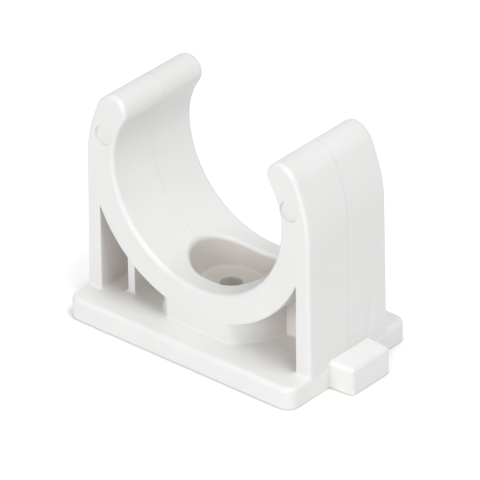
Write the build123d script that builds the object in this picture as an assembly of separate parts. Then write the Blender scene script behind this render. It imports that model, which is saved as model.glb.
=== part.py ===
"""A moulded plastic clip that holds a pipe above a base plate.

Frame: the origin is the axis of the screw hole at the underside of the plate,
+Z points up to the mouth, the pipe lies along Y, and the coupling lug is on +X.
The clip is drawn about the middle of its cradle and moved to that frame at the end.
"""
from build123d import *
import os
from math import radians, tan

# Driving dimensions, in millimetres and degrees.
# Cradle for the pipe
pipe_radius = 20.0
seat_height = 13.3
ring_wall = 5.9

# Lips at the mouth
lip_curve_radius = 14.7
lip_angle = 35.0
nose_radius = 3.1
lip_top_fall = 32.0
lip_top_length = 2.2
crown_radius = 5.0
shoulder_rise = 3.2
shoulder_radius = 24.0

# Arms
side_wall = 6.6
arm_wall = 3.4
arm_depth = 22.5
side_draft = 0.7
face_draft = 0.3
arm_edge_radius = 0.8

# Base plate
plate_depth = 34.0
plate_overhang = 0.1
plate_thickness = 4.5
plate_corner_radius = 2.4
plate_edge_radius = 1.0
foot_edge_radius = 0.3

# Pockets, boss and rib between the cradle and the plate
web_thickness = 3.0
boss_radius = 13.4
rib_thickness = 1.6
rib_gap = 4.3
rib_setback = 2.8
pocket_edge_radius = 0.35
foot_blend_radius = 0.6

# Dimples on the faces of the arms
dimple_distance = 22.15
dimple_rise = 4.4
dimple_diameter = 4.1
dimple_depth = 0.45

# Screw hole and its recess
screw_offset = 1.3
hole_diameter = 4.2
hole_edge_radius = 0.25
recess_floor_height = 9.2
recess_floor_radius = 5.4
recess_centre_distance = 3.6
recess_wall_angle = 20.0
recess_foot_radius = 0.8
recess_rim_radius = 0.8

# Coupling lug
lug_length = 5.2
lug_root_width = 11.6
lug_end_width = 10.8
lug_height = 5.6
lug_edge_radius = 0.8

# Places that follow from the sizes above
axis_height = seat_height + pipe_radius
axis_half_width = pipe_radius + side_wall
half_width = axis_half_width + (axis_height - plate_thickness) * tan(radians(side_draft))
plate_end_x = half_width + plate_overhang
ring_radius = pipe_radius + ring_wall
pocket_outer_x = half_width - arm_wall
rib_outer_x = pocket_outer_x - rib_gap

# How close two lengths are when they are taken as the same
match = 0.001


def half_width_at(height):
    """Half the width of the drafted arms at a height above the plate."""
    return half_width - (height - plate_thickness) * tan(radians(side_draft))


def half_depth_at(height):
    """Half the depth of the drafted arms at a height."""
    return arm_depth / 2 - (height - plate_thickness) * tan(radians(face_draft))


def clip_outline():
    """The U of cradle, arms and lips, seen along the pipe."""
    seat = CenterArc((0, axis_height), pipe_radius, 180, 180)
    lip = JernArc((pipe_radius, axis_height), (0, 1), lip_curve_radius, lip_angle)
    nose = JernArc(lip @ 1, lip % 1, nose_radius, -90 - lip_angle - lip_top_fall)
    shoulder_height = axis_height + shoulder_rise
    side = FilletPolyline(
        nose @ 1,
        nose @ 1 + nose % 1 * lip_top_length,
        (half_width_at(shoulder_height), shoulder_height),
        (half_width, plate_thickness),
        (half_width, 0),
        radius=[crown_radius, shoulder_radius, 0],
    )
    half = Curve() + lip + nose + side
    base = Line((-half_width, 0), (half_width, 0))
    return make_face(Curve() + seat + half + mirror(half, Plane.YZ) + base)


def arm_body():
    """The outline given its depth, with leaning front and back faces."""
    body = extrude(Plane.XZ * clip_outline(), amount=plate_depth / 2, both=True)
    top_height = body.bounding_box().max.Z
    side_view = Polygon(
        (-half_depth_at(0), 0),
        (half_depth_at(0), 0),
        (half_depth_at(top_height), top_height),
        (-half_depth_at(top_height), top_height),
        align=None,
    )
    body &= extrude(Plane.YZ * side_view, amount=half_width, both=True)
    faces = body.faces().sort_by(Axis.Y)
    rims = faces[0].edges() + faces[-1].edges()
    rims = rims.filter_by(lambda edge: edge.center().Z > plate_thickness)
    return fillet(rims, arm_edge_radius)


def pocket_cutter():
    """The hollow beside the boss, in front of the web."""
    outline = Pos(0, plate_thickness) * Rectangle(
        pocket_outer_x, axis_height - plate_thickness, align=(Align.MIN, Align.MIN)
    )
    outline -= Pos(0, axis_height) * Circle(ring_radius)
    cutter = extrude(Plane.XZ.offset(web_thickness / 2) * outline, amount=plate_depth)
    boss = Cylinder(boss_radius, axis_height, align=(Align.CENTER, Align.CENTER, Align.MIN))
    return (cutter - boss).solids().sort_by(Axis.X)[-1]


def rib():
    """The upright rib in the left pocket."""
    depth = arm_depth / 2 - rib_setback
    return Pos(-rib_outer_x, 0, 0) * Box(
        rib_thickness, depth, axis_height, align=(Align.MIN, Align.MAX, Align.MIN)
    )


def dimple():
    """The shallow round dimple in the front of the right arm."""
    height = axis_height + dimple_rise
    front = Location((dimple_distance, -half_depth_at(height) + dimple_depth, height))
    return front * Rotation(90, 0, 0) * Cylinder(
        dimple_diameter / 2, plate_depth, align=(Align.CENTER, Align.CENTER, Align.MIN)
    )


def plate():
    """The base plate with rounded corners and a rounded top edge."""
    outline = RectangleRounded(2 * plate_end_x, plate_depth, plate_corner_radius)
    slab = extrude(outline, amount=plate_thickness)
    top = slab.faces().sort_by(Axis.Z)[-1]
    return fillet(top.edges(), plate_edge_radius)


def lug():
    """The block that couples the next clip, a little narrower at its end."""
    end_x = plate_end_x + lug_length
    outline = Polygon(
        (pocket_outer_x, -lug_root_width / 2),
        (plate_end_x, -lug_root_width / 2),
        (end_x, -lug_end_width / 2),
        (end_x, lug_end_width / 2),
        (plate_end_x, lug_root_width / 2),
        (pocket_outer_x, lug_root_width / 2),
        align=None,
    )
    block = extrude(outline, amount=lug_height)
    edges = block.edges().filter_by(lambda edge: edge.center().Z > 0)
    edges = edges.filter_by(lambda edge: edge.center().X > plate_end_x)
    return fillet(edges, lug_edge_radius)


def screw_recess():
    """The flared slot that the screw head goes down into."""
    floor = SlotCenterToCenter(recess_centre_distance, 2 * recess_floor_radius)
    height = axis_height - recess_floor_height
    slot = extrude(Pos(0, 0, recess_floor_height) * floor, amount=height, taper=-recess_wall_angle)
    foot = slot.faces().sort_by(Axis.Z)[0].edges()
    return fillet(foot, recess_foot_radius)


def screw_hole():
    """The hole through the boss for the screw."""
    return Pos(-screw_offset, 0, 0) * Cylinder(
        hole_diameter / 2, axis_height, align=(Align.CENTER, Align.CENTER, Align.MIN)
    )


def mouth_edges(body):
    """The edges of the pockets' roofs and outer walls on the front face."""
    front = body.faces().sort_by(Axis.Y)[0]
    edges = [edge for wire in front.inner_wires() for edge in wire.edges()]
    above = [edge for edge in edges if edge.center().Z > plate_thickness + match]
    return [edge for edge in above if abs(edge.center().X) > boss_radius]


def foot_edges(body):
    """The inside corners where the arms, web, rib and boss stand on the plate."""
    front_y = -half_depth_at(plate_thickness)
    flat = body.edges().filter_by(lambda edge: edge.bounding_box().size.Z < match)
    level = flat.filter_by(lambda edge: abs(edge.center().Z - plate_thickness) < match)
    inside = level.filter_by(lambda edge: abs(edge.center().X) < half_width - match)
    return inside.filter_by(lambda edge: front_y - match < edge.center().Y < -match)


def front_half():
    """The half of the clip in front of the middle of its depth, without lug or hole."""
    body = split(arm_body(), Plane.XZ, keep=Keep.TOP)
    right_pocket = pocket_cutter()
    body -= right_pocket
    body -= mirror(right_pocket, Plane.YZ) - rib()
    body = fillet(mouth_edges(body), pocket_edge_radius)
    body -= dimple()
    body -= mirror(dimple(), Plane.YZ)
    body += split(plate(), Plane.XZ, keep=Keep.TOP)
    return fillet(foot_edges(body), foot_blend_radius)


def rim_edges(body):
    """The edge of the screw recess on the cradle, which is the largest round face."""
    cradle = body.faces().filter_by(GeomType.CYLINDER).sort_by(SortBy.AREA)[-1]
    return [edge for wire in cradle.inner_wires() for edge in wire.edges()]


def hole_edge(body):
    """The upper edge of the screw hole."""
    round_edges = body.edges().filter_by(GeomType.CIRCLE)
    same_size = round_edges.filter_by(lambda edge: abs(edge.radius - hole_diameter / 2) < match)
    return same_size.filter_by(lambda edge: abs(edge.center().Z - recess_floor_height) < match)


half = front_half()
clip = half + mirror(half, Plane.XZ)
clip += lug()
clip -= screw_recess()
clip = fillet(rim_edges(clip), recess_rim_radius)
clip -= screw_hole()
clip = fillet(hole_edge(clip), hole_edge_radius)
underside = clip.faces().sort_by(Axis.Z)[0]
clip = fillet(underside.outer_wire().edges(), foot_edge_radius)
clip = Pos(screw_offset, 0, 0) * clip

os.makedirs("parts", exist_ok=True)
export_step(clip, "parts/pipe_clip.step")
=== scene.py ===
"""A white moulded pipe clip on a pale floor, in soft studio light.

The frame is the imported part's, in metres: the origin is the axis of the screw hole at
the underside of the plate, +Z points up to the mouth and the pipe lies along Y.
"""

from math import cos, radians, sin

import bpy
from mathutils import Matrix, Vector

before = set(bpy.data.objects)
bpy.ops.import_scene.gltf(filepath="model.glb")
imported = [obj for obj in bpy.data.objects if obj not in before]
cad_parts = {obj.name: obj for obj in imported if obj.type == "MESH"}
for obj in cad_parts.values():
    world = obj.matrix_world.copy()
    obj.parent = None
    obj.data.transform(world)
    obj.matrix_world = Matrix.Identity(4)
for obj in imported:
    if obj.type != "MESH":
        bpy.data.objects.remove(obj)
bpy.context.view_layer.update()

MM = 0.001
IMAGE_SIZE = 480

# Camera, with angles in degrees and the focal length in pixels of the photograph
CAMERA_AZIMUTH = 40.832
CAMERA_ELEVATION = 30.310
CAMERA_ROLL = -0.840
CAMERA_DISTANCE = 1044.477 * MM
CAMERA_FOCAL = 5682.106
CAMERA_TARGET = Vector((2.315, 0.0, 19.066)) * MM
SENSOR_WIDTH = 36.0

# Floor and light; a lift is light that only the camera and reflections see
FLOOR_SIZE = 6.0
FLOOR_DROP = 0.02 * MM
FLOOR_COLOR = (0.90, 0.90, 0.90, 1.0)
FLOOR_LIFT = 0.46
# Reach and strength of the painted contact shadow on the floor
CONTACT_REACH = 9.0 * MM
CONTACT_LIFT = 0.10
CONTACT_OPENNESS = (0.5, 0.96)
SKY_STRENGTH = 0.35
LAMP_DISTANCE = 1.0
LAMPS = [
    # name, direction from the object, width in metres, power in watts
    ("right_lamp", Vector((0.48, -0.04, 0.88)), 0.50, 5.2),
    ("left_lamp", Vector((-0.60, 0.20, 0.77)), 0.60, 0.6),
    ("front_lamp", Vector((0.02, -0.95, 0.30)), 0.50, 3.75),
]

# Places on the clip
CRADLE_X = 1.3 * MM
CRADLE_Z = 33.3 * MM
PLATE_TOP = 4.5 * MM
SEAM_START = 0.4 * MM

# Plastic
PLASTIC_COLOR = (0.86, 0.86, 0.852, 1.0)
PLASTIC_SHADE = (0.835, 0.835, 0.825, 1.0)
# Colour of the painted shade in the hollows
PLASTIC_PAINTED_HOLLOW_SHADE = (0.81, 0.775, 0.74, 1.0)
PLASTIC_IOR = 1.49
PLASTIC_SPECULAR = 0.45
PLASTIC_ROUGHNESS = (0.34, 0.42)
NOISE_MIDDLE = (0.3, 0.7)
HOLLOW_REACH = 12.0 * MM
HOLLOW_OPENNESS = (0.20, 0.50)

# Screw recess, as distances from the cradle's axis, across the clip and from its middle
# Colour of the painted shade on the walls and floor of the recess
RECESS_PAINTED_SHADE = (0.64, 0.602, 0.57, 1.0)
RECESS_START = 20.2 * MM
RECESS_FULL = 20.9 * MM
RECESS_HALF_LENGTH = 9.9 * MM
RECESS_HALF_WIDTH = 8.4 * MM
RECESS_FADE = 0.4 * MM
RECESS_FLOOR = 9.1 * MM
RECESS_FLOOR_FADE = 0.3 * MM
RECESS_ROUGHER = 0.2

# Relief of the skin
SEAM_HALF_WIDTH = 0.17 * MM
SEAM_HEIGHT = 0.06 * MM
GRAIN_HEIGHT = 0.0012 * MM
PEEL_HEIGHT = 0.012 * MM


def place(azimuth, elevation, roll):
    """Right, up and back directions of a camera that looks at the object."""
    a, e, r = radians(azimuth), radians(elevation), radians(roll)
    back = Vector((sin(a) * cos(e), -cos(a) * cos(e), sin(e)))
    right = Vector((cos(a), sin(a), 0.0))
    up = back.cross(right)
    return right * cos(r) + up * sin(r), up * cos(r) - right * sin(r), back


def camera():
    """The camera at the photograph's angle, with its long lens."""
    data = bpy.data.cameras.new("camera")
    data.sensor_width = SENSOR_WIDTH
    data.lens = SENSOR_WIDTH * CAMERA_FOCAL / IMAGE_SIZE
    data.clip_start = 0.01
    data.clip_end = 20.0
    right, up, back = place(CAMERA_AZIMUTH, CAMERA_ELEVATION, CAMERA_ROLL)
    obj = bpy.data.objects.new("camera", data)
    obj.matrix_world = (
        Matrix.Translation(CAMERA_TARGET + back * CAMERA_DISTANCE)
        @ Matrix((right, up, back)).transposed().to_4x4()
    )
    bpy.context.collection.objects.link(obj)
    bpy.context.scene.camera = obj


def node(tree, kind, **settings):
    """A new shader node with its settings."""
    made = tree.nodes.new(kind)
    for name, value in settings.items():
        setattr(made, name, value)
    return made


def math_node(tree, operation, first, second=0.0):
    """A Math node on a socket and, where it takes two, a number or another socket."""
    made = node(tree, "ShaderNodeMath", operation=operation)
    tree.links.new(first, made.inputs[0])
    if isinstance(second, (int, float)):
        made.inputs[1].default_value = second
    else:
        tree.links.new(second, made.inputs[1])
    return made.outputs[0]


def noise(tree, coordinates, scale, detail, roughness):
    """A noise value on object coordinates."""
    made = node(tree, "ShaderNodeTexNoise")
    made.inputs["Scale"].default_value = scale
    made.inputs["Detail"].default_value = detail
    made.inputs["Roughness"].default_value = roughness
    tree.links.new(coordinates, made.inputs["Vector"])
    return made.outputs["Fac"]


def map_range(tree, value, source, target, smooth=True):
    """A value mapped from one range to another."""
    made = node(tree, "ShaderNodeMapRange")
    if smooth:
        made.interpolation_type = "SMOOTHSTEP"
    tree.links.new(value, made.inputs["Value"])
    made.inputs["From Min"].default_value, made.inputs["From Max"].default_value = source
    made.inputs["To Min"].default_value, made.inputs["To Max"].default_value = target
    return made.outputs["Result"]


def inside(tree, value, limit, fade):
    """One where a distance from nothing is below a limit, fading out beyond it."""
    distance = math_node(tree, "ABSOLUTE", value)
    return map_range(tree, distance, (limit, limit + fade), (1.0, 0.0))


def recess_area(tree, axes):
    """One on the walls and floor of the screw recess, below the round of the cradle."""
    across = math_node(tree, "SUBTRACT", axes.outputs["X"], CRADLE_X)
    below = math_node(tree, "SUBTRACT", axes.outputs["Z"], CRADLE_Z)
    across_squared = math_node(tree, "MULTIPLY", across, across)
    below_squared = math_node(tree, "MULTIPLY", below, below)
    from_axis = math_node(tree, "SQRT", math_node(tree, "ADD", across_squared, below_squared))
    sunk = map_range(tree, from_axis, (RECESS_START, RECESS_FULL), (0.0, 1.0))
    along = inside(tree, across, RECESS_HALF_LENGTH, RECESS_FADE)
    wide = inside(tree, axes.outputs["Y"], RECESS_HALF_WIDTH, RECESS_FADE)
    floor_range = (RECESS_FLOOR - RECESS_FLOOR_FADE, RECESS_FLOOR)
    above = map_range(tree, axes.outputs["Z"], floor_range, (0.0, 1.0))
    plan = math_node(tree, "MULTIPLY", along, wide)
    return math_node(tree, "MULTIPLY", math_node(tree, "MULTIPLY", sunk, plan), above)


def moulded_plastic():
    """White moulded plastic with a soft gloss, orange peel, a parting line, and painted shade
    in the hollows and the recess.
    """
    material = bpy.data.materials.new("white_moulded_plastic")
    material.use_nodes = True
    tree = material.node_tree
    shader = tree.nodes["Principled BSDF"]
    shader.inputs["IOR"].default_value = PLASTIC_IOR
    shader.inputs["Specular IOR Level"].default_value = PLASTIC_SPECULAR

    coordinates = node(tree, "ShaderNodeTexCoord").outputs["Object"]
    axes = node(tree, "ShaderNodeSeparateXYZ")
    tree.links.new(coordinates, axes.inputs[0])

    # Slow changes of tone
    flow = noise(tree, coordinates, 55.0, 2.0, 0.5)
    tone = node(tree, "ShaderNodeMix", data_type="RGBA")
    tone.inputs["A"].default_value = PLASTIC_SHADE
    tone.inputs["B"].default_value = PLASTIC_COLOR
    tree.links.new(map_range(tree, flow, NOISE_MIDDLE, (0.0, 1.0)), tone.inputs["Factor"])

    # Painted shade: ambient occlusion makes the base colour a little warmer and darker in the
    # hollows, in place of the shade and warm bounce light there
    hollow = node(tree, "ShaderNodeAmbientOcclusion", samples=12)
    hollow.inputs["Distance"].default_value = HOLLOW_REACH
    painted_hollow_shade = node(tree, "ShaderNodeMix", data_type="RGBA")
    painted_hollow_shade.inputs["A"].default_value = PLASTIC_PAINTED_HOLLOW_SHADE
    tree.links.new(tone.outputs["Result"], painted_hollow_shade.inputs["B"])
    open_sky = map_range(tree, hollow.outputs["AO"], HOLLOW_OPENNESS, (0.0, 1.0))
    tree.links.new(open_sky, painted_hollow_shade.inputs["Factor"])

    # Painted shade: these lamps leave the recess brighter than its shade, so its walls and
    # floor get a darker, warm grey base colour; the same mask also makes the recess rougher
    recess_shade_and_roughness = recess_area(tree, axes)
    base_with_painted_shade = node(tree, "ShaderNodeMix", data_type="RGBA")
    tree.links.new(painted_hollow_shade.outputs["Result"], base_with_painted_shade.inputs["A"])
    base_with_painted_shade.inputs["B"].default_value = RECESS_PAINTED_SHADE
    tree.links.new(recess_shade_and_roughness, base_with_painted_shade.inputs["Factor"])
    tree.links.new(base_with_painted_shade.outputs["Result"], shader.inputs["Base Color"])

    # A gloss that wanders a little, rougher in the recess
    gloss = noise(tree, coordinates, 240.0, 3.0, 0.55)
    roughness = map_range(tree, gloss, NOISE_MIDDLE, PLASTIC_ROUGHNESS)
    rougher = math_node(tree, "MULTIPLY", recess_shade_and_roughness, RECESS_ROUGHER)
    duller = math_node(tree, "ADD", roughness, rougher)
    tree.links.new(duller, shader.inputs["Roughness"])

    # The parting line round the arms, lips and cradle at the middle of the depth
    distance = math_node(tree, "ABSOLUTE", axes.outputs["Y"])
    line = map_range(tree, distance, (0.0, SEAM_HALF_WIDTH), (1.0, 0.0))
    seam_range = (PLATE_TOP, PLATE_TOP + SEAM_START)
    above = map_range(tree, axes.outputs["Z"], seam_range, (0.0, 1.0))
    seam = math_node(tree, "MULTIPLY", line, above)

    # The skin of the mould: fine grain over a slow orange peel
    grain = noise(tree, coordinates, 4200.0, 2.0, 0.6)
    peel = noise(tree, coordinates, 620.0, 2.0, 0.5)
    skin = math_node(
        tree,
        "ADD",
        math_node(tree, "MULTIPLY", grain, GRAIN_HEIGHT),
        math_node(tree, "MULTIPLY", peel, PEEL_HEIGHT),
    )
    height = math_node(tree, "ADD", skin, math_node(tree, "MULTIPLY", seam, SEAM_HEIGHT))
    bump = node(tree, "ShaderNodeBump")
    bump.inputs["Strength"].default_value = 1.0
    bump.inputs["Distance"].default_value = 1.0
    tree.links.new(height, bump.inputs["Height"])
    tree.links.new(bump.outputs["Normal"], shader.inputs["Normal"])
    return material


def floor_material():
    """A matt white floor that the camera sees as white paper, with the object's shadow and a
    painted contact shadow next to it.
    """
    material = bpy.data.materials.new("pale_floor")
    material.use_nodes = True
    tree = material.node_tree
    tree.nodes.clear()
    output = node(tree, "ShaderNodeOutputMaterial")
    diffuse = node(tree, "ShaderNodeBsdfDiffuse")
    diffuse.inputs["Color"].default_value = FLOOR_COLOR
    lift = node(tree, "ShaderNodeEmission")
    lift.inputs["Color"].default_value = (1.0, 1.0, 1.0, 1.0)
    seen = math_node(tree, "MULTIPLY", seen_ray(tree), FLOOR_LIFT)

    # Painted contact shadow: ambient occlusion cuts the lift close to the clip, where its
    # edges keep the light from the floor
    contact = node(tree, "ShaderNodeAmbientOcclusion", samples=16)
    contact.inputs["Distance"].default_value = CONTACT_REACH
    lift_range = (CONTACT_LIFT, 1.0)
    clear = map_range(tree, contact.outputs["AO"], CONTACT_OPENNESS, lift_range, smooth=False)
    tree.links.new(math_node(tree, "MULTIPLY", seen, clear), lift.inputs["Strength"])
    both = node(tree, "ShaderNodeAddShader")
    tree.links.new(diffuse.outputs[0], both.inputs[0])
    tree.links.new(lift.outputs[0], both.inputs[1])
    tree.links.new(both.outputs[0], output.inputs["Surface"])
    return material


def seen_ray(tree):
    """One where the camera, a reflection or glass looks at the surface, else nothing."""
    path = node(tree, "ShaderNodeLightPath")
    glossy = math_node(
        tree, "MAXIMUM", path.outputs["Is Glossy Ray"], path.outputs["Is Transmission Ray"]
    )
    return math_node(tree, "MAXIMUM", path.outputs["Is Camera Ray"], glossy)


def floor():
    """The floor that the clip stands on."""
    half = FLOOR_SIZE / 2
    mesh = bpy.data.meshes.new("floor")
    corners = [(-half, -half), (half, -half), (half, half), (-half, half)]
    mesh.from_pydata([(x, y, -FLOOR_DROP) for x, y in corners], [], [(0, 1, 2, 3)])
    mesh.materials.append(floor_material())
    obj = bpy.data.objects.new("floor", mesh)
    bpy.context.collection.objects.link(obj)


def sky():
    """An even pale surround that fills the shadows, white where the camera sees it."""
    world = bpy.data.worlds.new("surround")
    bpy.context.scene.world = world
    world.use_nodes = True
    tree = world.node_tree
    background = tree.nodes["Background"]
    background.inputs["Color"].default_value = (1.0, 1.0, 1.0, 1.0)
    strength = map_range(tree, seen_ray(tree), (0.0, 1.0), (SKY_STRENGTH, 1.0), smooth=False)
    tree.links.new(strength, background.inputs["Strength"])


def softbox(name, direction, size, power):
    """A square soft lamp that points at the object."""
    data = bpy.data.lights.new(name, "AREA")
    data.shape = "SQUARE"
    data.size = size
    data.energy = power
    obj = bpy.data.objects.new(name, data)
    place_at = CAMERA_TARGET + direction.normalized() * LAMP_DISTANCE
    turn = direction.to_track_quat("Z", "Y").to_matrix().to_4x4()
    obj.matrix_world = Matrix.Translation(place_at) @ turn
    bpy.context.collection.objects.link(obj)


camera()
floor()
sky()
for lamp in LAMPS:
    softbox(*lamp)

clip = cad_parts["pipe_clip"]
plastic = moulded_plastic()
for material_slot in clip.material_slots:
    material_slot.material = plastic

bpy.context.scene.view_settings.view_transform = "Standard"
